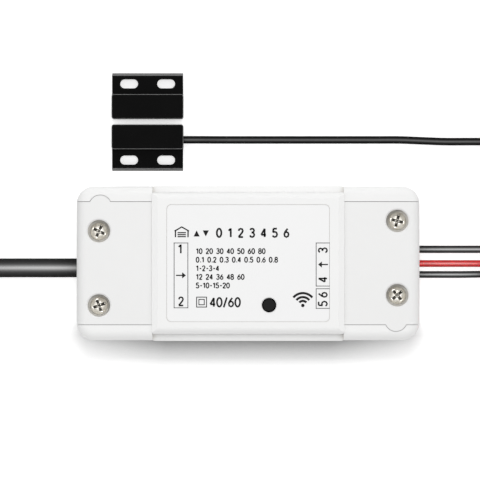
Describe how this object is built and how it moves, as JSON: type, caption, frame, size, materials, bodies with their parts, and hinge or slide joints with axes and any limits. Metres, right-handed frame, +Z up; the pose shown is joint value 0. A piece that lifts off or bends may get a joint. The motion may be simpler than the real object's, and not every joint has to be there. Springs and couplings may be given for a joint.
{
  "type": "garage door controller",
  "caption": "Inline white relay box with screwed terminal covers, a push button, a mains lead with plug, switch leads and a wired magnetic door sensor.",
  "frame": {"origin": "middle of the box's bottom face", "axes": "+X along the box to the output end, +Y towards the door sensor, +Z up through the button"},
  "size_m": [0.2582, 0.0876, 0.025],
  "materials": {
    "shell_white": "fine satin moulding",
    "label_film": "smooth satin print",
    "screw_nickel": "nickel plated",
    "screw_zinc": "zinc plated",
    "button_black": "satin",
    "board_green": "solder mask",
    "terminal_green": "smooth moulding",
    "relay_blue": "smooth moulding",
    "ferrite": "dull sintered",
    "winding_tape": "tape",
    "capacitor_sleeve": "shrink sleeve",
    "fuse_green": "cement coat",
    "chip_black": "moulded",
    "radio_board": "solder mask",
    "shield_tin": "tin plated",
    "led_clear": "clear resin",
    "dome_spring": "rolled",
    "core_brown": "smooth",
    "core_blue": "smooth",
    "core_grey": "smooth",
    "sensor_black": "satin moulding",
    "resin_grey": "poured",
    "reed_glass": "clear",
    "reed_metal": "plated",
    "magnet_nickel": "plated",
    "cable_black": "smooth satin",
    "cable_red": "smooth satin",
    "tie_black": "satin",
    "plug_black": "satin moulding",
    "pin_nickel": "nickel plated",
    "tinned_copper": "tinned strands"
  },
  "bodies": {
    "controller": {"base_shell": "shell_white", "top_cover": "shell_white", "input_cover": "shell_white", "output_cover": "shell_white", "face_label": "label_film", "cover_screws": "screw_nickel", "board_screws": "screw_zinc", "terminal_screws": "screw_zinc", "circuit_board": "board_green", "input_terminal": "terminal_green", "output_terminal": "terminal_green", "sensor_terminal": "terminal_green", "relay": "relay_blue", "varistor": "relay_blue", "transformer_core": "ferrite", "choke": "ferrite", "transformer_bobbin": "winding_tape", "input_capacitor": "capacitor_sleeve", "output_capacitor": "capacitor_sleeve", "fuse_resistor": "fuse_green", "rectifier": "chip_black", "switch_body": "chip_black", "radio_module": "radio_board", "radio_shield": "shield_tin", "status_led": "led_clear", "switch_dome": "dome_spring", "live_core": "core_brown", "neutral_core": "core_blue", "sensor_cores": "core_grey", "reed_housing": "sensor_black", "reed_potting": "resin_grey", "reed_capsule": "reed_glass", "reed_blades": "reed_metal", "mains_lead": "cable_black", "mains_coil": "cable_black", "mains_tail": "cable_black", "sensor_lead": "cable_black", "sensor_coil": "cable_black", "sensor_return": "cable_black", "black_wire": "cable_black", "black_coil": "cable_black", "red_wire": "cable_red", "red_coil": "cable_red", "mains_tie": "tie_black", "sensor_tie": "tie_black", "wire_tie": "tie_black", "plug_body": "plug_black", "plug_relief": "plug_black", "plug_sleeves": "plug_black", "plug_pins": "pin_nickel", "red_tip": "tinned_copper", "black_tip": "tinned_copper"},
    "button": {"button_plunger": "button_black"},
    "magnet": {"magnet_housing": "sensor_black", "magnet_potting": "resin_grey", "magnet_bar": "magnet_nickel"}
  },
  "joints": [
    {"name": "button_press", "type": "slide", "parent": "controller", "child": "button", "axis": [0, 0, -1], "range_m": [0, 0.0003], "stiffness_N_per_m": 1500, "deforming": ["switch_dome"]},
    {"name": "magnet_slide", "type": "slide", "parent": "controller", "child": "magnet", "axis": [0, 1, 0], "range_m": [0, 0.05]}
  ]
}
